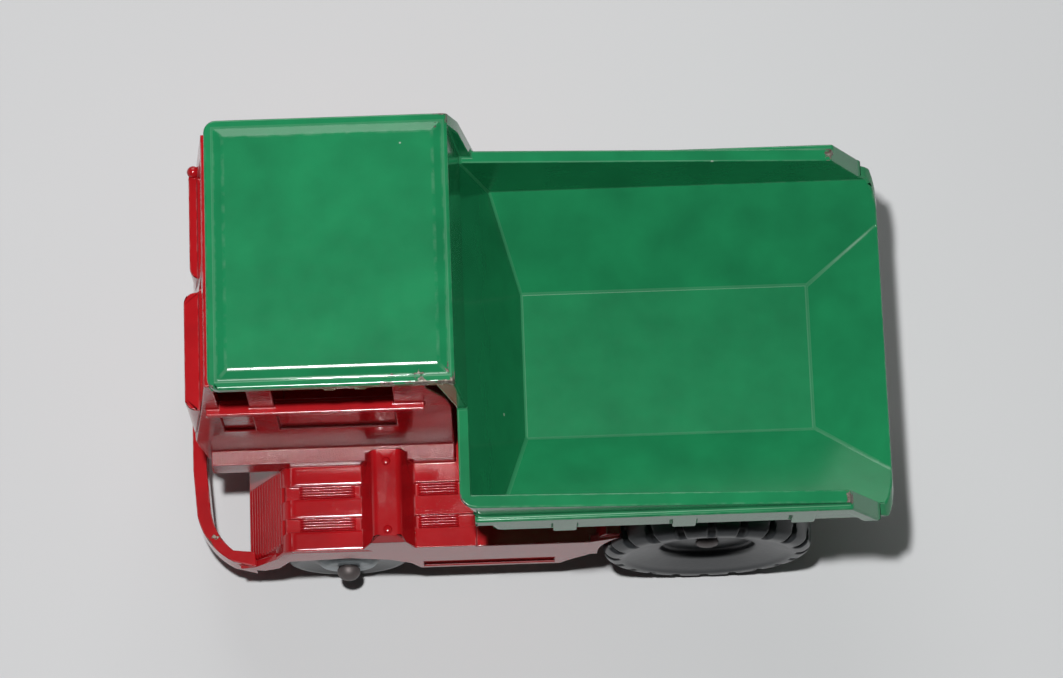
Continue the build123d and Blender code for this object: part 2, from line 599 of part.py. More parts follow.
def bumper():
    """Bar bent around the front, its ends tied to the side plates, and its bracket."""
    end_x = FRONT + BUMPER_END_RUN
    tie_x = FRONT + 5.3
    end_y = SIDE - 0.5
    bottom = BUMPER_TOP - BUMPER_H

    def ring_face(offset):
        """Plan of the bar's outer face, or of its inner face when offset is its thickness."""
        x = FRONT + offset
        y = end_y - offset * 0.85
        bend = (x + BUMPER_BOW, BUMPER_BEND - offset * 0.35)
        bulge = (bend[0] + (end_x - bend[0]) * 0.37, bend[1] + (y - bend[1]) * 0.61)
        tie = (tie_x + offset, SIDE - offset)
        left_arc = ThreePointArc((bend[0], -bend[1]), (bulge[0], -bulge[1]), (end_x, -y))
        right_arc = ThreePointArc((end_x, y), (bulge[0], bulge[1]), (bend[0], bend[1]))
        rear = Polyline((end_x, -y), (tie[0], -tie[1]), (tie[0], tie[1]), (end_x, y))
        bow = Polyline(bend, (x, BUMPER_FLAT), (x, -BUMPER_FLAT), (bend[0], -bend[1]))
        edges = [*left_arc.edges(), *rear.edges(), *right_arc.edges(), *bow.edges()]
        return Pos(0, 0, bottom) * Face(Wire(edges))

    bar = extrude(ring_face(0), amount=BUMPER_H) - extrude(ring_face(BUMPER_T), amount=BUMPER_H)
    bracket = [
        (FRONT + BUMPER_T / 2, bottom), (FRONT + BUMPER_T / 2, BUMPER_TOP),
        (CAB_FRONT_FOOT + 0.6, SILL_TOP - DECK_T / 2), (CAB_FRONT_FOOT + 1.8, SILL_TOP - DECK_T / 2),
        (FRONT + BUMPER_T + 1, bottom),
    ]
    return bar + side_view(bracket, -BRACKET_HALF, BRACKET_HALF)


def cab_chassis():
    """The red casting: chassis, bonnet, cab, nose and bumper."""
    casting = side_plates() + frame() + rivet_posts() + cab() + nose() + bumper() + bonnet()
    casting -= wheel_arch_cut()
    casting -= rod(REAR_AXLE_X, REAR_WHEEL_R, AXLE_BORE, -REAR_WHEEL_IN, REAR_WHEEL_IN)
    casting -= rod(FRONT_AXLE_X, FRONT_WHEEL_R, AXLE_BORE, -FRONT_WHEEL_IN, FRONT_WHEEL_IN)
    casting -= rod(PIN_X, PIN_Z, PIN_R + PIN_FIT, -HALF, HALF)
    for x in RIVET_XS:
        hole = Cylinder(RIVET_R + RIVET_HOLE_FIT, RIVET_DEPTH + 0.3)
        casting -= Pos(x, 0, SILL_BOTTOM + (RIVET_DEPTH + 0.3) / 2) * hole
    return casting


# ----------------------------------------------------------------------------- wheels and axles
def turned(profile, x, z, side):
    """Body of revolution about the axle at (x, z) from (radius, distance from the middle) points."""
    wire = Wire.make_polygon([(x + r, side * y, z) for r, y in profile], close=True)
    axis = Axis((x, 0, z), (0, 1, 0))
    return revolve(Face(wire), axis=axis, revolution_arc=360)


def rear_wheel(side):
    """Large wheel: dished outer face around a sunk hub, and slits across both tread shoulders."""
    bore = AXLE_R + WHEEL_CLEARANCE
    out = REAR_WHEEL_OUT
    soft = REAR_SHOULDER
    profile = [
        (bore, REAR_WHEEL_IN), (REAR_WHEEL_R - soft, REAR_WHEEL_IN),
        (REAR_WHEEL_R - soft * 0.3, REAR_WHEEL_IN + soft * 0.3), (REAR_WHEEL_R, REAR_WHEEL_IN + soft),
        (REAR_WHEEL_R, out - soft), (REAR_WHEEL_R - soft * 0.3, out - soft * 0.3),
        (REAR_WHEEL_R - soft, out), (REAR_HUB_R, out - REAR_DISH_DEPTH),
        (REAR_HUB_R, REAR_HUB_FACE), (bore, REAR_HUB_FACE),
    ]
    wheel = turned(profile, REAR_AXLE_X, REAR_WHEEL_R, side)
    reach = REAR_WHEEL_W * 0.4
    slits = Part()
    for index in range(TREAD_SLITS):
        cutter = Pos(0, 0, REAR_WHEEL_R) * Box(TREAD_SLIT_W, reach, 2 * TREAD_SLIT_DEPTH)
        turn = Rot(0, index * 360 / TREAD_SLITS, 0)
        for y in (REAR_WHEEL_IN + reach / 2, REAR_WHEEL_OUT - reach / 2):
            slits += Pos(REAR_AXLE_X, side * y, REAR_WHEEL_R) * turn * cutter
    return wheel - slits


def front_wheel(side):
    """Small wheel with rounded shoulders and a raised ring around the hub."""
    bore = AXLE_R + WHEEL_CLEARANCE
    out = FRONT_WHEEL_OUT
    soft = FRONT_SHOULDER
    profile = [
        (bore, FRONT_WHEEL_IN), (FRONT_WHEEL_R - soft, FRONT_WHEEL_IN),
        (FRONT_WHEEL_R - soft * 0.3, FRONT_WHEEL_IN + soft * 0.3),
        (FRONT_WHEEL_R, FRONT_WHEEL_IN + soft), (FRONT_WHEEL_R, out - soft),
        (FRONT_WHEEL_R - soft * 0.3, out - soft * 0.3), (FRONT_WHEEL_R - soft, out),
        (FRONT_RING_R + 0.7, out - 0.3), (FRONT_RING_R, FRONT_RING_FACE), (bore, FRONT_RING_FACE),
    ]
    return turned(profile, FRONT_AXLE_X, FRONT_WHEEL_R, side)


def axle(x, z, seat, head_h):
    """Steel axle with a head outside each wheel, whose inner face is at seat."""
    head_r = AXLE_R + AXLE_HEAD_LIP
    bar = rod(x, z, AXLE_R, -seat - head_h / 2, seat + head_h / 2)
    for side in (-1, 1):
        profile = [
            (0, seat), (head_r, seat), (head_r, seat + head_h * 0.55),
            (head_r * 0.6, seat + head_h * 0.9), (0, seat + head_h),
        ]
        bar += turned(profile, x, z, side)
    return bar


def tipping_pin():
    """Pin through the frame and both ears, with a head at each end."""
    seat = LUG_OUT + END_CLEARANCE
    pin = rod(PIN_X, PIN_Z, PIN_R, -seat - PIN_HEAD_H / 2, seat + PIN_HEAD_H / 2)
    for y0, y1 in ((-seat - PIN_HEAD_H, -seat), (seat, seat + PIN_HEAD_H)):
        pin += rod(PIN_X, PIN_Z, PIN_R + PIN_HEAD_LIP, y0, y1)
    return pin


# ----------------------------------------------------------------------------- base
def countersunk(x, top, grow):
    """Rivet at x that reaches up to top, with its head flush under the plate; grow makes its hole."""
    under = SILL_BOTTOM - PLATE_T
    profile = [
        (0, under), (RIVET_HEAD_R + grow, under), (RIVET_R + grow, SILL_BOTTOM - 0.1),
        (RIVET_R + grow, top), (0, top),
    ]
    wire = Wire.make_polygon([(x + r, 0, z) for r, z in profile], close=True)
    return revolve(Face(wire), axis=Axis((x, 0, 0), (0, 0, 1)), revolution_arc=360)


def base_plate():
    """Pressed plate under the casting, narrow between the front wheels, with countersunk holes."""
    neck = FRONT_WHEEL_IN - PLATE_NECK_GAP
    side = SIDE - SIDE_T - PLATE_SIDE_GAP
    shoulder = FRONT_AXLE_X + FRONT_WHEEL_R + 0.6
    rear = REAR_AXLE_X - REAR_WHEEL_R - 3.7
    outline = [
        (PLATE_FRONT, -neck), (shoulder, -neck), (shoulder, -side),
        (rear, -side), (rear, side), (shoulder, side), (shoulder, neck),
        (PLATE_FRONT, neck),
    ]
    plate = plan_view(outline, SILL_BOTTOM - PLATE_T, SILL_BOTTOM)
    for x in RIVET_XS:
        plate -= countersunk(x, SILL_BOTTOM, RIVET_HOLE_FIT)
    return plate


def base_rivets():
    """Two rivets, as separate solids."""
    return Compound(children=[countersunk(x, SILL_BOTTOM + RIVET_DEPTH, 0) for x in RIVET_XS])


# ----------------------------------------------------------------------------- write the pieces
def pieces():
    """Every sub-part by its node name."""
    return {
        "cab_chassis": cab_chassis(),
        "dump_body": dump_body(),
        "tipping_pin": tipping_pin(),
        "base_plate": base_plate(),
        "base_rivets": base_rivets(),
        "front_axle": axle(FRONT_AXLE_X, FRONT_WHEEL_R, FRONT_RING_FACE + END_CLEARANCE, FRONT_HEAD_H),
        "rear_axle": axle(REAR_AXLE_X, REAR_WHEEL_R, REAR_HUB_FACE + END_CLEARANCE, REAR_HEAD_H),
        "front_wheel_left": front_wheel(-1),
        "front_wheel_right": front_wheel(1),
        "rear_wheel_left": rear_wheel(-1),
        "rear_wheel_right": rear_wheel(1),
    }


os.makedirs("parts", exist_ok=True)
for node, shape in pieces().items():
    export_step(shape, f"parts/{node}.step")
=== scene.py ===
"""Toy dump truck: two enamelled zinc castings on moulded wheels, dressed around its fixed CAD frame.

Front is -X, the left side is -Y and the floor is z = 0. Bare lengths and places are millimetres, and MM
turns them into the metres of the scene.
"""

import math

import bmesh
import bpy
import numpy as np
from bpy.props import FloatProperty, PointerProperty, StringProperty
from bpy.types import NodeSocket, Operator, Panel, PropertyGroup
from mathutils import Matrix, Vector
from mathutils.bvhtree import BVHTree


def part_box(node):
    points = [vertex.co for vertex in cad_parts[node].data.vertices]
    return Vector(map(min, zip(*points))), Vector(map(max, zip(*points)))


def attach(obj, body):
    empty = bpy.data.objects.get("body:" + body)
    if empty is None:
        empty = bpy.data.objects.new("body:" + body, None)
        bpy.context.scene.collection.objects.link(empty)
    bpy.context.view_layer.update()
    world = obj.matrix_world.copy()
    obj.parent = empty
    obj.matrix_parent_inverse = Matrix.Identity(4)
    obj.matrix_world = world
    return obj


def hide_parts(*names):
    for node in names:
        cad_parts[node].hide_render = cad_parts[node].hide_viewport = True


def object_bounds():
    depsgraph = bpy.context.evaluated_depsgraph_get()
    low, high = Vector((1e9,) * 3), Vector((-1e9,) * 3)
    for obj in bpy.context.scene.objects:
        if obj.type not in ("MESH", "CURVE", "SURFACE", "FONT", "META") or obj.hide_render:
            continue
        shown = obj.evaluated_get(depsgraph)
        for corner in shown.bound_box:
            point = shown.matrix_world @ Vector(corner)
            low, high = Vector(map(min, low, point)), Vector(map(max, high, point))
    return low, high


bl_info = {
    "name": "Toy dump truck",
    "version": (1, 0, 0),
    "blender": (4, 5, 0),
    "location": "View3D > Sidebar > Toy truck",
    "description": "Enamelled castings, moulded wheels and a pale stage around the truck's CAD frame",
    "category": "Object",
}

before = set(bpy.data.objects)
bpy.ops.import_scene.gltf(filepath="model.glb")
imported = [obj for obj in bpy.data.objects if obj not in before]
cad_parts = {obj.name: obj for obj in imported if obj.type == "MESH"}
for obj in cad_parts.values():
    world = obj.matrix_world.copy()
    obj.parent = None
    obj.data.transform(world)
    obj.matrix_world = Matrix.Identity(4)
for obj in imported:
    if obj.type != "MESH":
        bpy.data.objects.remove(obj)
cad_box = [list(corner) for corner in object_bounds()]

MM = 0.001
FRONT = cad_box[0][0] / MM
TAIL = cad_box[1][0] / MM
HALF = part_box("dump_body")[1].y / MM
TOP = cad_box[1][2] / MM
DECK = 13.193          # level of the bonnet's deck
BONNET_LEFT = -15.0    # left side of the bonnet
CAB_LEFT = -6.9        # left wall of the cab, and the canopy's left edge above it
BAND_W = 1.7           # raised bands along the bonnet
GROOVE_W = 1.15        # grooves between the bands
BAND_TOP = DECK + 0.337
BOX_TOP = 16.693       # top of the cross box on the bonnet
BOX_MIDDLE = FRONT + 17.05
STUDS_Y = (-14.05, -8.1)
SHARP = math.radians(22)    # a casting's edge at least this sharp is rolled
TREAD_SLITS = 20

CAMERA_PLACE = (-3.32, -88.81, 355.01)
CAMERA_TARGET = (-0.135, 1.215, 20.4)
CAMERA_UP = (0.0342, 0.9650, 0.2600)
CAMERA_LENS = 138.48


# ----------------------------------------------------------------------------- user's sizes and colours
def length(label, note, millimetres):
    """A length that a user would change, shown in scene units."""
    return FloatProperty(
        name=label, description=note, default=millimetres * MM, min=0.0, unit="LENGTH", precision=5)


def colour(label, note, hexcode):
    """An sRGB colour that a user would change, kept as the same six digits a paint chart gives."""
    return StringProperty(name=label, description=note, default=hexcode)


class TruckSizes(PropertyGroup):
    """Sizes of the finish, in scene units."""

    body_edge: length("Dump body edge", "Radius of paint and metal along the dump body's edges", 0.2)
    cab_edge: length("Cab edge", "Radius of paint and metal along the cab casting's edges", 0.12)
    plate_edge: length("Plate edge", "Rolled edge of the pressed base plate", 0.08)
    tread_slit: length("Tread slit", "Width of a slit in the rear tread", 0.62)
    slit_depth: length("Slit depth", "Depth of a slit in the rear tread", 0.5)
    louvre_height: length("Louvre height", "How far a bonnet louvre stands proud", 0.2)
    lamp_size: length("Key lamp size", "Side of the square key lamp", 13.0)
    lamp_power: FloatProperty(
        name="Key lamp power", description="Output of the key lamp", default=0.87, unit="POWER")
    fill_size: length("Fill lamp size", "Side of the large square fill lamp", 240.0)
    fill_power: FloatProperty(
        name="Fill lamp power", description="Output of the fill lamp", default=0.42, unit="POWER")
    room_level: FloatProperty(
        name="Room light", description="Even light from all around the truck", default=0.03, subtype="FACTOR")


class TruckColours(PropertyGroup):
    """Paints, plastics and metals, as sRGB hex values."""

    green: colour("Green enamel", "Stoved enamel on the dump body", "#1d8050")
    red: colour("Red enamel", "Stoved enamel on the cab casting", "#ac141b")
    zinc: colour("Bare zinc", "Die-cast metal where the enamel has chipped", "#8d857b")
    plastic: colour("Wheel plastic", "Moulded wheels", "#26292c")
    # pale hub ring colour: a painted reflection on the raised ring round each front hub
    hub: colour("Hub ring", "Worn ring around the front hubs", "#8f9b9f")
    steel: colour("Steel", "Pin, rivets and base plate", "#8c8377")
    tarnish: colour("Tarnished steel", "Axle bars and their heads", "#67605f")
    floor: colour("Floor", "Plain pale floor", "#d6d7d8")


# ----------------------------------------------------------------------------- small helpers
def linear(hexcode):
    """Linear RGBA of an sRGB hex colour."""
    srgb = np.array([int(hexcode[i:i + 2], 16) for i in (1, 3, 5)]) / 255
    return (*np.where(srgb <= 0.04045, srgb / 12.92, ((srgb + 0.055) / 1.055) ** 2.4), 1.0)


def settings():
    """The scene's sizes and colours."""
    return bpy.context.scene.truck_sizes, bpy.context.scene.truck_colours


def tint(base, share):
    """A linear colour made darker or lighter by a share, its alpha kept."""
    return tuple(np.array(base) * (share, share, share, 1))


def add(tree, kind, inputs=None, out=0, **properties):
    """Adds one shader node and gives one of its outputs; inputs maps a socket to a value or to another
    node's output."""
    made = tree.nodes.new("ShaderNode" + kind)
    for key, value in properties.items():
        setattr(made, key, value)
    for key, value in (inputs or {}).items():
        if isinstance(value, NodeSocket):
            tree.links.new(value, made.inputs[key])
        else:
            made.inputs[key].default_value = value
    return made.outputs[out]


def new_material(name):
    """An empty material with its node tree and its Principled shader."""
    material = bpy.data.materials.new(name)
    material.use_nodes = True
    return material, material.node_tree, material.node_tree.nodes["Principled BSDF"]


def new_object(name, mesh, body, material):
    """Links a finished mesh, gives it its finish and makes it ride on a body."""
    piece = bpy.data.objects.new(name, mesh)
    bpy.context.scene.collection.objects.link(piece)
    mesh.materials.clear()
    mesh.materials.append(material)
    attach(piece, body)
    return piece


def sheet_mesh(name, points, close_u=False, close_v=False, attributes=None):
    """Mesh of a grid of points (rows, columns, 3) in millimetres: each quad joins a point to the next one
    along its row and its column, rows and columns wrap where asked, and open rims are filled."""
    rows, columns = points.shape[:2]
    index = np.arange(rows * columns).reshape(rows, columns)
    if close_u:
        index = np.vstack([index, index[:1]])
    if close_v:
        index = np.hstack([index, index[:, :1]])
    quads = np.stack([index[:-1, :-1], index[1:, :-1], index[1:, 1:], index[:-1, 1:]], -1).reshape(-1, 4)
    mesh = bpy.data.meshes.new(name)
    mesh.vertices.add(rows * columns)
    mesh.vertices.foreach_set("co", (points * MM).astype(np.float32).ravel())
    mesh.loops.add(quads.size)
    mesh.loops.foreach_set("vertex_index", quads.ravel().astype(np.int32))
    mesh.polygons.add(len(quads))
    mesh.polygons.foreach_set("loop_start", np.arange(0, quads.size, 4, dtype=np.int32))
    mesh.update(calc_edges=True)
    for key, values in (attributes or {}).items():
        layer = mesh.attributes.new(key, "FLOAT", "POINT")
        layer.data.foreach_set("value", np.broadcast_to(values, (rows, columns)).astype(np.float32).ravel())
    shell = bmesh.new()
    shell.from_mesh(mesh)
    bmesh.ops.remove_doubles(shell, verts=shell.verts, dist=1e-7)
    bmesh.ops.dissolve_degenerate(shell, edges=shell.edges, dist=1e-8)
    rims = [edge for edge in shell.edges if edge.is_boundary]
    bmesh.ops.holes_fill(shell, edges=rims, sides=0)
    bmesh.ops.recalc_face_normals(shell, faces=shell.faces)
    shell.to_mesh(mesh)
    shell.free()
    mesh.polygons.foreach_set("use_smooth", np.ones(len(mesh.polygons), bool))
    mesh.set_sharp_from_angle(angle=math.radians(50))
    return mesh


def smooth(low, high, value):
    """0 below low, 1 above high and a cubic S between them."""
    t = np.clip((value - low) / (high - low), 0, 1)
    return t * t * (3 - 2 * t)


def soft_corners(corners, cut, steps=5):
    """Polyline through the corners, each inner corner replaced by a quadratic curve that starts and ends
    a distance cut before and after it, or two fifths of the shorter run."""
    corners = np.array(corners, float)
    before = corners[:-2] - corners[1:-1]
    after = corners[2:] - corners[1:-1]
    cut_in = np.minimum(cut, 0.4 * np.linalg.norm(before, axis=1))[:, None]
    cut_out = np.minimum(cut, 0.4 * np.linalg.norm(after, axis=1))[:, None]
    start = corners[1:-1] + before / np.linalg.norm(before, axis=1)[:, None] * cut_in
    end = corners[1:-1] + after / np.linalg.norm(after, axis=1)[:, None] * cut_out
    t = np.linspace(0, 1, steps)[None, :, None]
    curves = start[:, None] * (1 - t) ** 2 + 2 * corners[1:-1][:, None] * t * (1 - t) + end[:, None] * t ** 2
    return np.vstack([corners[:1], curves.reshape(-1, corners.shape[1]), corners[-1:]])


def turned(profile, x, z, segments):
    """Surface of revolution about the line through (x, z) along Y: a profile point (radius, y) at angle a
    stands at (x + radius cos a, y, z + radius sin a)."""
    angle = np.linspace(0, 2 * np.pi, segments, endpoint=False)
    radius, y = profile[:, 0][:, None], profile[:, 1][:, None]
    return np.stack([x + radius * np.cos(angle), y + 0 * angle, z + radius * np.sin(angle)], -1)


# ----------------------------------------------------------------------------- materials
def enamel(name, paint, zinc, orange_peel_mm, grit_mm, gloss, wear_and_painted_light, chips, dust):
    """Stoved enamel sprayed on die-cast zinc: a hard gloss with a faint orange peel, gritty where the mesh
    says the metal is coarse and darkened there with painted shade, darkened with painted shade in concave
    creases, paler in patches along sharp edges where scuffed-down paint and a painted highlight are shown
    together, knocked off down to dull metal at the corners a child hits first. chips are balls (x, y, z,
    radius) where it comes off; dust is the share of specks that show."""
    material, tree, bsdf = new_material(name)
    place = add(tree, "TexCoord", out="Object")
    ridge, hollow, coarse = (
        add(tree, "Attribute", out="Fac", attribute_name=key) for key in ("ridge", "hollow", "coarse"))
    cloud, edge_rub_and_glint, ragged, mottle, sheen, peel, grit = (
        add(tree, "TexNoise", {
            "Vector": place, "Scale": 1 / (size_mm * MM), "Detail": detail, "Roughness": rough})
        for size_mm, detail, rough in (
            (4.0, 4.0, 0.5),      # slow cloudiness of the sprayed colour
            (0.9, 3.0, 0.5),      # stretches of edge with scuffed-down paint and a painted highlight
            (0.55, 4.0, 0.6),     # ragged outline of a chip
            (0.3, 2.0, 0.5),      # mottled metal in a chip
            (0.8, 2.0, 0.5),      # patches of duller gloss
            (0.7, 2.0, 0.5),      # orange peel
            (0.13, 3.0, 0.6),     # grit, coarser than real sand-cast grain so that it shows
        ))
    base, metal = linear(paint), linear(zinc)

    # paler edges: partly scuffed-down paint, partly a painted highlight
    edge_rub_and_glint = add(tree, "MapRange", {"Value": edge_rub_and_glint, "From Min": 0.42, "From Max": 0.62, "To Max": wear_and_painted_light})
    rubbed_and_highlit_edge = add(tree, "Math", {0: ridge, 1: edge_rub_and_glint}, operation="MULTIPLY")

    near = None
    for x, y, z, radius in chips:
        middle = tuple(np.array((x, y, z)) * MM)
        gap = add(tree, "VectorMath", {0: place, 1: middle}, out="Value", operation="DISTANCE")
        spot = add(tree, "MapRange", {"Value": gap, "From Min": radius * MM, "From Max": 0.25 * radius * MM})
        near = spot if near is None else add(tree, "Math", {0: near, 1: spot}, operation="MAXIMUM")
    by_place = add(tree, "Math", {0: near, 1: 0.4}, operation="MULTIPLY")
    knocked = add(tree, "Math", {0: ridge, 1: 0.16, 2: by_place}, operation="MULTIPLY_ADD")
    knocked = add(tree, "Math", {0: knocked, 1: ragged}, operation="ADD")
    chip = add(tree, "MapRange", {"Value": knocked, "From Min": 0.86, "From Max": 0.9})
    mottle = add(tree, "MapRange", {"Value": mottle, "From Min": 0.35, "From Max": 0.65})
    pitted = tuple(np.array(metal) * (0.35, 0.3, 0.27, 1))
    bare = add(tree, "Mix", {"Factor": mottle, 6: pitted, 7: metal}, out=2, data_type="RGBA")

    cells = add(tree, "TexVoronoi", {"Vector": place, "Scale": 1 / (2.6 * MM)}).node.outputs
    dot = add(tree, "MapRange", {
        "Value": cells["Distance"], "From Min": 0.06, "From Max": 0.045, "To Max": 0.75})
    lot = add(tree, "SeparateColor", {0: cells["Color"]})
    chosen = add(tree, "MapRange", {"Value": lot, "From Min": 1 - dust, "From Max": 1.01 - dust})
    speck = add(tree, "Math", {0: dot, 1: chosen}, operation="MULTIPLY")

    cloud = add(tree, "MapRange", {"Value": cloud, "From Min": 0.3, "From Max": 0.7})
    # painted shade: concave creases darkened
    crease_shade = add(tree, "Math", {0: hollow, 1: wear_and_painted_light}, operation="MULTIPLY")
    # painted shade: the coarse stretches of the casting darkened
    shaded = add(tree, "Math", {0: coarse, 1: 0.6}, operation="MULTIPLY")
    tone = tint(base, 0.86)
    for share, layer in (
        (cloud, tint(base, 1.1)),
        # paler edges: scuffed-down paint with a painted highlight
        (rubbed_and_highlit_edge, tuple(np.array(base) * 0.7 + 0.3)),
        # painted shade in concave creases
        (crease_shade, tint(base, 0.45)),
        # painted shade on the coarse stretches
        (shaded, tint(base, 0.3)),
        (chip, bare),
        (speck, linear("#c9cfc4")),
    ):
        tone = add(tree, "Mix", {"Factor": share, 6: tone, 7: layer}, out=2, data_type="RGBA")
    tree.links.new(tone, bsdf.inputs["Base Color"])

    metallic = add(tree, "Math", {0: chip, 1: 0.55}, operation="MULTIPLY")
    tree.links.new(metallic, bsdf.inputs["Metallic"])
    dull = add(tree, "Math", {0: sheen, 1: 0.12, 2: chip}, operation="MULTIPLY_ADD")
    dull = add(tree, "MapRange", {"Value": dull, "To Min": gloss, "To Max": 0.5})
    dull = add(tree, "Math", {0: hollow, 1: 0.6, 2: dull}, operation="MULTIPLY_ADD")
    tree.links.new(dull, bsdf.inputs["Roughness"])
    bsdf.inputs["IOR"].default_value = 1.5
    bsdf.inputs["Coat Weight"].default_value = 0.15
    bsdf.inputs["Coat Roughness"].default_value = 0.05

    grit_depth = add(tree, "MapRange", {"Value": coarse, "To Min": grit_mm * MM, "To Max": 0.035 * MM})
    grit = add(tree, "Math", {0: grit, 1: grit_depth}, operation="MULTIPLY")
    level = add(tree, "Math", {0: peel, 1: orange_peel_mm * MM, 2: grit}, operation="MULTIPLY_ADD")
    level = add(tree, "Math", {0: chip, 1: -0.03 * MM, 2: level}, operation="MULTIPLY_ADD")
    bump = add(tree, "Bump", {"Height": level, "Strength": 1.0, "Distance": 1.0})
    tree.links.new(bump, bsdf.inputs["Normal"])
    tree.links.new(bump, bsdf.inputs["Coat Normal"])
    return material


def plain(name, hexcode, roughness, metallic=0.0, grain_mm=0.4, worn=None):
    """Moulded plastic or drawn steel: one colour with slight blotches, a fine grain from the mould or the
    draw-bench, a pale tone painted as a reflection where the mesh marks the hub ring, and painted shade with
    a matt finish where it says sunk."""
    material, tree, bsdf = new_material(name)
    place = add(tree, "TexCoord", out="Object")
    blotch = add(tree, "TexNoise", {"Vector": place, "Scale": 1 / (1.8 * MM), "Detail": 4.0})
    base = linear(hexcode)
    dark, light = tint(base, 0.76), tint(base, 1.24)
    tone = add(tree, "Mix", {"Factor": blotch, 6: dark, 7: light}, out=2, data_type="RGBA")
    # painted reflection: a paler tone on the marked hub ring
    if worn:
        ring_glint = add(tree, "Attribute", out="Fac", attribute_name="worn")
        patchy = add(tree, "Math", {0: ring_glint, 1: blotch}, operation="MULTIPLY")
        share = add(tree, "MapRange", {"Value": patchy, "From Min": 0.2, "From Max": 0.5})
        tone = add(tree, "Mix", {"Factor": share, 6: tone, 7: linear(worn)}, out=2, data_type="RGBA")
    # painted shade: the tread slits darkened, as well as made matt
    sunk = add(tree, "Attribute", out="Fac", attribute_name="sunk")
    tone = add(tree, "Mix", {"Factor": sunk, 6: tone, 7: tint(base, 0.3)}, out=2, data_type="RGBA")
    tree.links.new(tone, bsdf.inputs["Base Color"])
    gloss = add(tree, "MapRange", {"Value": blotch, "To Min": roughness * 0.8, "To Max": roughness * 1.25})
    gloss = add(tree, "MapRange", {"Value": sunk, "To Min": gloss, "To Max": 0.8})
    tree.links.new(gloss, bsdf.inputs["Roughness"])
    bsdf.inputs["Metallic"].default_value = metallic
    grain = add(tree, "TexNoise", {"Vector": place, "Scale": 1 / (grain_mm * MM), "Detail": 3.0})
    bump = add(tree, "Bump", {"Height": grain, "Strength": 1.0, "Distance": 0.01 * MM})
    tree.links.new(bump, bsdf.inputs["Normal"])
    return material


def finish(key):
    """The material of one finish, made the first time it is asked for."""
    _, colours = settings()
    if key in bpy.data.materials:
        return bpy.data.materials[key]
    if key == "green_enamel_on_zinc":
        canopy_rear, canopy_front = FRONT + 23.1, FRONT + 3.5
        rim_tail = TAIL - 4.3
        chips = (
            (canopy_rear, CAB_LEFT, TOP - 0.3, 2.1), (canopy_rear - 2.6, CAB_LEFT, TOP - 0.5, 1.7),
            (canopy_rear - 5.0, CAB_LEFT, TOP - 0.5, 1.3),
            (canopy_rear, HALF, TOP, 1.6), (canopy_front, CAB_LEFT, TOP, 1.1),
            (rim_tail, HALF - 1, 26.5, 1.0), (rim_tail, 1 - HALF, 26.5, 1.0),
            (FRONT + 23.4, 1 - HALF, 29.3, 1.0),
        )
        return enamel(key, colours.green, colours.zinc, orange_peel_mm=0.003, grit_mm=0.0006,
                      gloss=0.16, wear_and_painted_light=0.12, chips=chips, dust=0.05)
    if key == "red_enamel_on_zinc":
        chips = (
            (FRONT + 1.6, -12.6, 8.0, 1.1), (FRONT + 1.0, 9.0, 21.0, 1.4), (FRONT + 1.2, -4.6, 27.0, 1.0))
        return enamel(key, colours.red, colours.zinc, orange_peel_mm=0.005, grit_mm=0.0015,
                      gloss=0.12, wear_and_painted_light=0.3, chips=chips, dust=0.04)
    if key == "moulded_plastic":
        return plain(key, colours.plastic, 0.3, worn=colours.hub)
    if key == "tarnished_drawn_steel":
        return plain(key, colours.tarnish, 0.5, metallic=0.6, grain_mm=0.2)
    return plain(key, colours.steel, 0.38, metallic=1.0, grain_mm=0.25)


# ----------------------------------------------------------------------------- pieces
def dressed_copy(name, node, edge, body, material, keep_sharp=(), coarse=()):
    """A merged copy of a CAD node with every SHARP edge rolled over a strip of the given width, except inside
    the keep_sharp balls (x, y, z, radius). The middle of a strip carries ridge = 1 where it is convex and
    hollow = 1 where it is concave; points in the coarse boxes (low, high, rims only) carry coarse = 1. Where
    strips cross, a vertex that ends up well off the casting's surface is drawn back to it."""
    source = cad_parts[node]
    mesh = source.data.copy()
    mesh.name = name
    mesh.materials.clear()
    shell = bmesh.new()
    shell.from_mesh(mesh)
    bmesh.ops.remove_doubles(shell, verts=shell.verts, dist=1e-6)
    bmesh.ops.dissolve_limit(
        shell, angle_limit=math.radians(0.5), verts=shell.verts, edges=shell.edges, delimit=set())
    bmesh.ops.triangulate(shell, faces=shell.faces, quad_method="BEAUTY", ngon_method="BEAUTY")
    weight = shell.edges.layers.float.new("bevel_weight_edge")
    for line in shell.edges:
        middle = (line.verts[0].co + line.verts[1].co) / 2 / MM
        spared = any((middle - Vector(ball[:3])).length < ball[3] for ball in keep_sharp)
        line[weight] = 0.0 if spared or line.calc_face_angle(0.0) < SHARP else 1.0
    surface = BVHTree.FromBMesh(shell)
    shell.to_mesh(mesh)
    shell.free()
    mesh.polygons.foreach_set("use_smooth", np.ones(len(mesh.polygons), bool))
    mesh.polygons.foreach_set("material_index", np.zeros(len(mesh.polygons), np.int32))
    rough = bpy.data.objects.new(name + "_rough", mesh)
    bpy.context.scene.collection.objects.link(rough)
    bevel = rough.modifiers.new("rolled_edges", "BEVEL")
    bevel.width = edge
    bevel.segments = 3
    bevel.limit_method = "WEIGHT"
    bevel.use_clamp_overlap = False
    bevel.material = 1    # marks the strips for mark_edges and set_normals
    mesh.materials.append(material)
    mesh.materials.append(material)
    graph = bpy.context.evaluated_depsgraph_get()
    done = bpy.data.meshes.new_from_object(
        rough.evaluated_get(graph), preserve_all_data_layers=True, depsgraph=graph)
    bpy.data.objects.remove(rough)
    done.name = name
    for vertex in done.vertices:
        nearest, _, _, gap = surface.find_nearest(vertex.co)
        if gap > 0.6 * edge:
            vertex.co = nearest
    done.update()
    mark_edges(done, coarse)
    set_normals(done)
    done.polygons.foreach_set("material_index", np.zeros(len(done.polygons), np.int32))
    piece = new_object(name, done, body, material)
    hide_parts(node)
    return piece


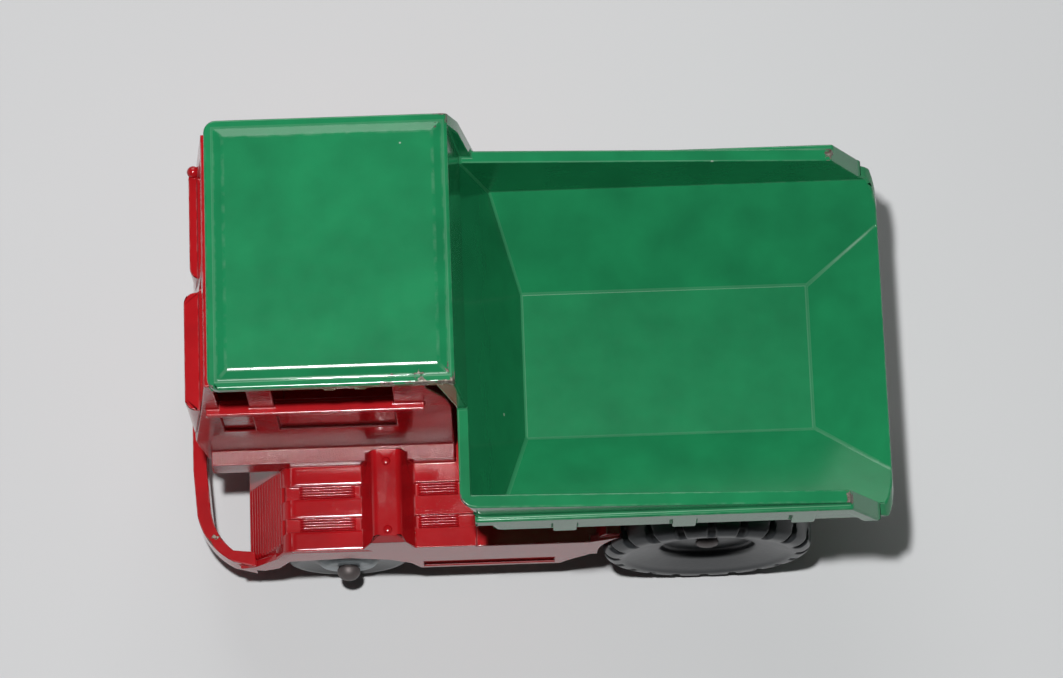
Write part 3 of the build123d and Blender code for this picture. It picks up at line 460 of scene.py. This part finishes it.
def set_normals(mesh):
    """Corner normals that keep every flat face flat: a vertex takes the area-weighted mean of the faces
    around it that lie outside the rolled strips, or of the strips where there is none, and a face more than
    12 degrees away from that mean keeps its own normal."""
    faces, corners = len(mesh.polygons), len(mesh.loops)
    normal, area = np.zeros(faces * 3, np.float32), np.zeros(faces, np.float32)
    totals, rolled, corner = np.zeros(faces, np.int32), np.zeros(faces, np.int32), np.zeros(corners, np.int32)
    mesh.polygons.foreach_get("normal", normal)
    mesh.polygons.foreach_get("area", area)
    mesh.polygons.foreach_get("loop_total", totals)
    mesh.polygons.foreach_get("material_index", rolled)
    mesh.loops.foreach_get("vertex_index", corner)
    normal = normal.reshape(-1, 3).astype(float)
    face = np.repeat(np.arange(faces), totals)
    outside = rolled[face] == 0
    weighted = (normal * (area[:, None] * 1e6 + 1e-9))[face]
    flat, strip = np.zeros((2, len(mesh.vertices), 3))
    np.add.at(flat, corner[outside], weighted[outside])
    np.add.at(strip, corner[~outside], weighted[~outside])
    mean = np.where((np.linalg.norm(flat, axis=1) > 0)[:, None], flat, strip)
    mean /= np.linalg.norm(mean, axis=1)[:, None] + 1e-20
    result = mean[corner]
    away = outside & ((result * normal[face]).sum(1) < math.cos(math.radians(12)))
    result[away] = normal[face][away]
    mesh.polygons.foreach_set("use_smooth", np.ones(faces, bool))
    mesh.normals_split_custom_set(result.tolist())


def mark_edges(mesh, coarse):
    """Writes ridge and hollow: a vertex counts when all its faces lie in a rolled strip, and it is convex
    when its neighbours lie below its tangent plane. Writes coarse inside the given boxes."""
    count = len(mesh.vertices)
    rolled = np.zeros(len(mesh.polygons), np.int32)
    mesh.polygons.foreach_get("material_index", rolled)
    totals = np.zeros(len(mesh.polygons), np.int32)
    mesh.polygons.foreach_get("loop_total", totals)
    corner = np.zeros(len(mesh.loops), np.int32)
    mesh.loops.foreach_get("vertex_index", corner)
    flat = np.ones(count)
    np.minimum.at(flat, corner, np.repeat(rolled, totals).astype(float))
    place = np.zeros(count * 3, np.float32)
    mesh.vertices.foreach_get("co", place)
    place = place.reshape(-1, 3).astype(float)
    normal = np.zeros(count * 3, np.float32)
    mesh.vertices.foreach_get("normal", normal)
    normal = normal.reshape(-1, 3).astype(float)
    pair = np.zeros(len(mesh.edges) * 2, np.int32)
    mesh.edges.foreach_get("vertices", pair)
    pair = pair.reshape(-1, 2)
    run = place[pair[:, 1]] - place[pair[:, 0]]
    size = np.linalg.norm(run, axis=1) + 1e-12
    rise = np.zeros(count)
    np.add.at(rise, pair[:, 0], (run * normal[pair[:, 0]]).sum(1) / size)
    np.add.at(rise, pair[:, 1], (-run * normal[pair[:, 1]]).sum(1) / size)
    # this mask drives both the grit bump and a painted shade on the colour
    grit_and_shade = np.zeros(count)
    for low, high, rims_only in coarse:
        inside = ((place > np.array(low) * MM) & (place < np.array(high) * MM)).all(1)
        grit_and_shade = np.maximum(grit_and_shade, inside * np.where(rims_only, flat, 1.0))
    for key, values in (("ridge", flat * (rise < 0)), ("hollow", flat * (rise > 0)), ("coarse", grit_and_shade)):
        layer = mesh.attributes.new(key, "FLOAT", "POINT")
        layer.data.foreach_set("value", values.astype(np.float32))


class TRUCK_OT_castings(Operator):
    """Rolled edges and stoved enamel on the dump body and the cab casting"""

    bl_idname = "toytruck.castings"
    bl_label = "Enamelled castings"

    def execute(self, context):
        sizes, _ = settings()
        dressed_copy("dump_body_casting", "dump_body", sizes.body_edge, "tipper",
                     finish("green_enamel_on_zinc"))
        knob = (FRONT + 2.0, HALF - 1.5, DECK + 15.8, 1.3)
        studs = [(BOX_MIDDLE, y, BOX_TOP, 0.5) for y in STUDS_Y]
        ledge = (
            (FRONT + 1.6, -7.75, DECK + 1.55), (FRONT + 23.0, CAB_LEFT + 0.7, DECK + 1.95), False)
        sill_rim = (
            (FRONT + 7.5, BONNET_LEFT - 0.2, DECK - 0.3), (FRONT + 40.0, BONNET_LEFT + 0.3, DECK + 0.1), True)
        box_edge = (
            (FRONT + 15.0, BONNET_LEFT, DECK + 0.1), (FRONT + 19.0, CAB_LEFT + 0.9, BOX_TOP + 0.1), True)
        dressed_copy("cab_casting", "cab_chassis", sizes.cab_edge, "chassis",
                     finish("red_enamel_on_zinc"), (knob, *studs), (ledge, sill_rim, box_edge))
        return {"FINISHED"}


def rear_wheel_points(side, sizes):
    """Rear wheel: a rounded profile turned about the axle. In the middle of each tapered slit the surface
    sinks along its own normal, deepest at the tread's shoulders."""
    low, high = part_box("rear_wheel_left" if side < 0 else "rear_wheel_right")
    radius = (high.z - low.z) / 2 / MM
    out = max(abs(low.y), abs(high.y)) / MM
    inner = min(abs(low.y), abs(high.y)) / MM
    bore, dish, shoulder = 0.88, 4.05, 0.8
    profile = soft_corners([
        (bore, out - 1.5), (dish, out - 1.5), (dish, out - 0.8), (radius - 2.1, out - 0.22),
        (radius - 1.6, out), (radius - shoulder, out), (radius - 0.12, out - 0.45), (radius, out - 1.3),
        (radius, (out + inner) / 2), (radius, inner + 1.3), (radius - 0.12, inner + 0.45),
        (radius - shoulder, inner), (3.0, inner), (bore, inner),
    ], 0.35, 6)
    dense = []
    for start, end in zip(profile[:-1], profile[1:]):
        pieces = max(1, int(np.linalg.norm(end - start) / 0.22))
        dense.append(start + (end - start) * np.linspace(0, 1, pieces, endpoint=False)[:, None])
    profile = np.vstack([*dense, profile[-1:]])
    segments = TREAD_SLITS * 22
    angle = np.linspace(0, 2 * np.pi, segments, endpoint=False)
    slope = np.gradient(profile, axis=0)
    normal = np.stack([-slope[:, 1], slope[:, 0]], -1)
    normal /= np.linalg.norm(normal, axis=1)[:, None] + 1e-9
    y = profile[:, 1]
    reach_out = smooth(out - 1.75, out - 1.2, y) * smooth(radius - 1.5, radius - 0.9, profile[:, 0])
    reach_in = smooth(inner + 1.75, inner + 1.2, y) * smooth(radius - 1.3, radius - 0.8, profile[:, 0])
    reach = np.maximum(reach_out, reach_in)
    width = sizes.tread_slit / MM / 2 * (0.55 + 0.75 * smooth(out - 1.9, out, y))
    step = 2 * np.pi / TREAD_SLITS
    across = np.abs((angle + step / 2) % step - step / 2)[None, :] * radius
    slit = 1 - smooth(0.55, 1.15, across / width[:, None])
    depth = sizes.slit_depth / MM * slit * reach[:, None]
    r = profile[:, 0][:, None] - np.abs(normal[:, 0])[:, None] * depth
    y = y[:, None] - np.sign(y - (out + inner) / 2)[:, None] * np.abs(normal[:, 1])[:, None] * depth
    x, z = (low.x + high.x) / 2 / MM, radius
    points = np.stack([x + r * np.cos(angle), side * y + 0 * angle, z + r * np.sin(angle)], -1)
    # the sunk mask carries painted shade into the slits
    return points, {"sunk": slit * reach[:, None]}


def front_wheel_points(side):
    """Front wheel: a rounded profile with a raised ring around the hub that carries a painted reflection,
    turned about the axle.
    """
    low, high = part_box("front_wheel_left" if side < 0 else "front_wheel_right")
    radius = (high.z - low.z) / 2 / MM
    ring = max(abs(low.y), abs(high.y)) / MM
    inner = min(abs(low.y), abs(high.y)) / MM
    out, bore = ring - 0.3, 0.88
    profile = soft_corners([
        (bore, ring - 0.05), (1.25, ring), (2.2, ring - 0.02), (2.75, out - 0.3), (radius - 1.5, out - 0.12),
        (radius - 0.9, out), (radius - 0.22, out - 0.28), (radius, out - 1.0), (radius, inner + 1.0),
        (radius - 0.22, inner + 0.28), (radius - 0.9, inner), (2.4, inner), (bore, inner),
    ], 0.3, 5)
    points = turned(profile * (1, side), (low.x + high.x) / 2 / MM, radius, 96)
    # mask of the painted reflection on the raised hub ring
    worn = smooth(2.9, 2.3, profile[:, 0]) * smooth(out - 0.4, out - 0.1, profile[:, 1])
    return points, {"worn": worn[:, None]}


class TRUCK_OT_wheels(Operator):
    """Moulded wheels: slit treads and dished faces at the rear, raised hub rings at the front"""

    bl_idname = "toytruck.wheels"
    bl_label = "Moulded wheels"

    def execute(self, context):
        sizes, _ = settings()
        plastic = finish("moulded_plastic")
        for side, word in ((-1, "left"), (1, "right")):
            made = {"rear": rear_wheel_points(side, sizes), "front": front_wheel_points(side)}
            for place, (points, marks) in made.items():
                mesh = sheet_mesh(
                    f"{place}_tyre_{word}", points, close_u=True, close_v=True, attributes=marks)
                piece = new_object(mesh.name, mesh, f"wheel_{place}_{word}", plastic)
                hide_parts(f"{place}_wheel_{word}")
        return {"FINISHED"}


class TRUCK_OT_fastenings(Operator):
    """Axles with peened heads, the tipping pin, the base plate and its rivets"""

    bl_idname = "toytruck.fastenings"
    bl_label = "Axles, pin and base"

    def execute(self, context):
        sizes, _ = settings()
        steel = finish("bright_drawn_steel")
        head_r, bar_r = 1.0, 0.8
        for place, head_h in (("front", 1.1), ("rear", 0.6)):
            low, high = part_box(f"{place}_axle")
            end = high.y / MM
            x, z = (low.x + high.x) / 2 / MM, (low.z + high.z) / 2 / MM
            half = [(0.0, end), (head_r * 0.45, end - head_h * 0.06), (head_r * 0.85, end - head_h * 0.3),
                    (head_r, end - head_h * 0.62), (head_r, end - head_h), (bar_r, end - head_h)]
            profile = np.array([*half, *[(r, -y) for r, y in reversed(half)]])
            profile = soft_corners(profile, 0.2, 6)
            mesh = sheet_mesh(f"{place}_axle_bar", turned(profile, x, z, 48), close_v=True)
            piece = new_object(mesh.name, mesh, mesh.name, finish("tarnished_drawn_steel"))
            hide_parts(f"{place}_axle")
        for node in ("tipping_pin", "base_plate", "base_rivets"):
            dressed_copy(f"{node}_finished", node, sizes.plate_edge, "chassis", steel)
        return {"FINISHED"}


def sunk_rim(z, level):
    """The grid z with its outermost rows and columns set to a level inside the casting."""
    z = z.copy()
    z[[0, -1], :] = level
    z[:, [0, -1]] = level
    return z


def louvres_mesh(name, x0, x1, y0, y1, height):
    """Row of five rounded ridges along X on the deck: height is a power of a sine across Y, fades at
    both ends, and the ridge nearest the left side is a lip 1.7 times as high; the rim sinks into the deck."""
    count, lip, ground = 5, 1.7, DECK + 0.01
    along = np.linspace(0, 1, 40)[:, None]
    across = np.linspace(0, 1, count * 10 + 1)[None, :]
    wave = np.abs(np.sin(np.pi * across * count)) ** 0.7
    tall = np.where(across * count < 1, lip, 1.0)
    fade = smooth(0, 0.06, along) * smooth(1, 0.94, along)
    z = sunk_rim(ground + height * wave * tall * fade, ground - 0.05)
    x = x0 + (x1 - x0) * along + 0 * across
    y = y0 + (y1 - y0) * across + 0 * along
    return sheet_mesh(name, np.stack([x, y, z], -1))


def radiator_mesh():
    """Radiator bars: rounded bars along Y down the sloping front of the bonnet, standing proud of the slope
    along its own normal by a power of a sine, with the rim sunk into the casting."""
    foot = np.array((FRONT + 4.75, 5.3))
    head = np.array((FRONT + 8.1, 12.8))
    run = head - foot
    normal = np.array((-run[1], run[0])) / np.linalg.norm(run)
    bars = 13
    along = np.linspace(0, 1, bars * 8 + 1)[:, None]
    across = np.linspace(0, 1, 60)[None, :]
    fade = smooth(0, 0.03, across) * smooth(1, 0.97, across)
    height = 0.13 * np.abs(np.sin(np.pi * along * bars)) ** 0.8 * fade
    lift = sunk_rim(height + 0.01, -0.12)
    x = foot[0] + run[0] * along + normal[0] * lift
    z = foot[1] + run[1] * along + normal[1] * lift
    y = -14.2 + 6.6 * across + 0 * along
    return sheet_mesh("radiator_bars", np.stack([x, y, z], -1))


def band_mesh(name, y0, y1):
    """One bonnet band: its side profile climbs the slope, turns over a broad curve and runs flat to the cross
    box; across Y the section is level and falls off with the twentieth power of the distance."""
    profile = soft_corners([
        (FRONT + 7.2, 10.95), (FRONT + 8.3, BAND_TOP), (FRONT + 15.0, BAND_TOP)], 1.0, 16)
    across = np.linspace(-1, 1, 33)[None, :]
    sink = 0.3 * np.abs(across) ** 20 + np.zeros((len(profile), 33))
    sink[0] += 0.12
    x = profile[:, 0][:, None] + 0.35 * sink
    z = profile[:, 1][:, None] - sink
    y = (y0 + y1) / 2 + (y1 - y0) / 2 * across + 0 * x
    points = np.stack([x, y, z], -1)
    below = points.copy()
    below[..., 0] += 0.5
    below[..., 2] -= 0.6
    return sheet_mesh(name, np.concatenate([points, below[::-1]]), close_u=True)


def stud_mesh(name, x, y):
    """Small domed stud in a shallow ring: a profile turned about the upright line through (x, y)."""
    profile = soft_corners([
        (0.0, 0.19), (0.18, 0.17), (0.31, 0.12), (0.36, 0.01), (0.42, 0.0), (0.42, -0.2), (0.0, -0.2),
    ], 0.06, 4)
    angle = np.linspace(0, 2 * np.pi, 40, endpoint=False)
    r = profile[:, 0][:, None]
    z = BOX_TOP + profile[:, 1][:, None] + 0 * angle
    points = np.stack([x + r * np.cos(angle), y + r * np.sin(angle), z], -1)
    return sheet_mesh(name, points, close_v=True)


class TRUCK_OT_bonnet(Operator):
    """Radiator bars, rolled bonnet bands, louvres and the studs on the cross box"""

    bl_idname = "toytruck.bonnet"
    bl_label = "Bonnet detail"

    def execute(self, context):
        sizes, _ = settings()
        red = finish("red_enamel_on_zinc")
        made = [radiator_mesh()]
        height = sizes.louvre_height / MM
        for band in range(3):
            y0 = BONNET_LEFT + band * (BAND_W + GROOVE_W)
            made.append(band_mesh(f"bonnet_band_{band}", y0 - 0.02, y0 + BAND_W + 0.03))
            if band < 2:
                groove = (y0 + BAND_W - 0.02, y0 + BAND_W + GROOVE_W + 0.02)
                for number, (start, end) in enumerate(((9.4, 14.3), (19.6, 23.1))):
                    made.append(louvres_mesh(
                        f"louvres_{band}_{number}", FRONT + start, FRONT + end, *groove, height))
        for number, y in enumerate(STUDS_Y):
            made.append(stud_mesh(f"stud_{number}", BOX_MIDDLE, y))
        for mesh in made:
            new_object(mesh.name, mesh, "chassis", red)
        return {"FINISHED"}


# ----------------------------------------------------------------------------- stage
def pale_card(hexcode):
    """Matt pale card: one tone with a slow cloudiness too faint to read as a pattern."""
    paint, tree, bsdf = new_material("matt_pale_card")
    place = add(tree, "TexCoord", out="Object")
    cloud = add(tree, "TexNoise", {"Vector": place, "Scale": 1 / (60 * MM), "Detail": 2.0})
    base = linear(hexcode)
    dark, light = tint(base, 0.97), tint(base, 1.02)
    tone = add(tree, "Mix", {"Factor": cloud, 6: dark, 7: light}, out=2, data_type="RGBA")
    tree.links.new(tone, bsdf.inputs["Base Color"])
    bsdf.inputs["Roughness"].default_value = 0.7
    bsdf.inputs["Specular IOR Level"].default_value = 0.2
    return paint


def lay_floor(hexcode):
    """One flat quad under the truck."""
    reach = 700 * MM
    mesh = bpy.data.meshes.new("floor")
    mesh.from_pydata([(-reach, -reach, 0), (reach, -reach, 0), (reach, reach, 0), (-reach, reach, 0)], [],
                     [(0, 1, 2, 3)])
    mesh.materials.append(pale_card(hexcode))
    floor = bpy.data.objects.new("floor", mesh)
    bpy.context.scene.collection.objects.link(floor)


def hang_lamp(name, size, power, place):
    """A square lamp at a place, aimed at the middle of the truck."""
    lamp = bpy.data.lights.new(name, "AREA")
    lamp.size = size
    lamp.energy = power
    holder = bpy.data.objects.new(name, lamp)
    holder.location = Vector(place) * MM
    aim = Vector((0, 0, 15)) * MM - holder.location
    holder.rotation_euler = aim.to_track_quat("-Z", "Y").to_euler()
    bpy.context.scene.collection.objects.link(holder)


def light_room(level):
    """Dim even light from all around; what the camera and the gloss see is brighter near the horizon, mostly
    ahead of the truck and behind it."""
    world = bpy.data.worlds.new("even_room")
    bpy.context.scene.world = world
    world.use_nodes = True
    sky = world.node_tree
    rays = add(sky, "LightPath").node.outputs
    seen = add(sky, "Math", {0: rays["Is Glossy Ray"], 1: rays["Is Transmission Ray"]}, operation="MAXIMUM")
    seen = add(sky, "Math", {0: seen, 1: rays["Is Camera Ray"]}, operation="MAXIMUM")
    toward = add(sky, "SeparateXYZ", {0: add(sky, "TexCoord", out="Generated")}).node.outputs
    low = add(sky, "MapRange", {"Value": toward["Z"], "From Min": 0.55, "From Max": 0.15})
    aside = add(sky, "Math", {0: toward["Y"]}, operation="ABSOLUTE")
    ends = add(sky, "MapRange", {"Value": aside, "From Min": 0.7, "From Max": 0.0, "To Min": 0.25})
    wall = add(sky, "Math", {0: low, 1: ends}, operation="MULTIPLY")
    wall = add(sky, "Math", {0: wall, 1: seen}, operation="MULTIPLY")
    strength = add(sky, "MapRange", {"Value": wall, "To Min": level, "To Max": 0.5})
    background = sky.nodes["Background"]
    background.inputs["Color"].default_value = (1, 1, 1, 1)
    sky.links.new(strength, background.inputs["Strength"])


def set_camera():
    """A camera high above the left side, looking down at the truck."""
    camera = bpy.data.cameras.new("camera")
    camera.lens = CAMERA_LENS
    camera.sensor_width = 36
    camera.clip_start = 0.01
    camera.clip_end = 10
    holder = bpy.data.objects.new("camera", camera)
    place = Vector(CAMERA_PLACE) * MM
    back = (place - Vector(CAMERA_TARGET) * MM).normalized()
    right = Vector(CAMERA_UP).cross(back).normalized()
    turn = Matrix((right, back.cross(right), back)).transposed()
    holder.matrix_world = Matrix.Translation(place) @ turn.to_4x4()
    bpy.context.scene.collection.objects.link(holder)
    bpy.context.scene.camera = holder


class TRUCK_OT_stage(Operator):
    """Pale floor, key lamp, even room light and the camera"""

    bl_idname = "toytruck.stage"
    bl_label = "Stage, lamps and camera"

    def execute(self, context):
        sizes, colours = settings()
        lay_floor(colours.floor)
        hang_lamp("key_lamp", sizes.lamp_size, sizes.lamp_power, (-25, -32, 330))
        hang_lamp("fill_lamp", sizes.fill_size, sizes.fill_power, (-30, 330, 215))
        light_room(sizes.room_level)
        set_camera()
        context.scene.view_settings.view_transform = "Standard"
        return {"FINISHED"}


class TRUCK_PT_panel(Panel):
    """Lists the truck's steps in the sidebar"""

    bl_idname = "TRUCK_PT_panel"
    bl_label = "Toy truck"
    bl_space_type = "VIEW_3D"
    bl_region_type = "UI"
    bl_category = "Toy truck"

    def draw(self, context):
        for group in settings():
            for name in group.__annotations__:
                self.layout.prop(group, name)
        for step in STEPS:
            self.layout.operator(step.bl_idname)


STEPS = (TRUCK_OT_stage, TRUCK_OT_castings, TRUCK_OT_wheels, TRUCK_OT_fastenings, TRUCK_OT_bonnet)
CLASSES = (TruckSizes, TruckColours, *STEPS, TRUCK_PT_panel)


def register():
    """Makes the classes and the two setting groups known to Blender."""
    for kind in CLASSES:
        bpy.utils.register_class(kind)
    bpy.types.Scene.truck_sizes = PointerProperty(type=TruckSizes)
    bpy.types.Scene.truck_colours = PointerProperty(type=TruckColours)


def unregister():
    """Takes them away again."""
    del bpy.types.Scene.truck_colours
    del bpy.types.Scene.truck_sizes
    for kind in reversed(CLASSES):
        bpy.utils.unregister_class(kind)


def main():
    """Runs each step in order."""
    register()
    for step in STEPS:
        group, name = step.bl_idname.split(".")
        getattr(getattr(bpy.ops, group), name)()


if __name__ == "__main__":
    main()
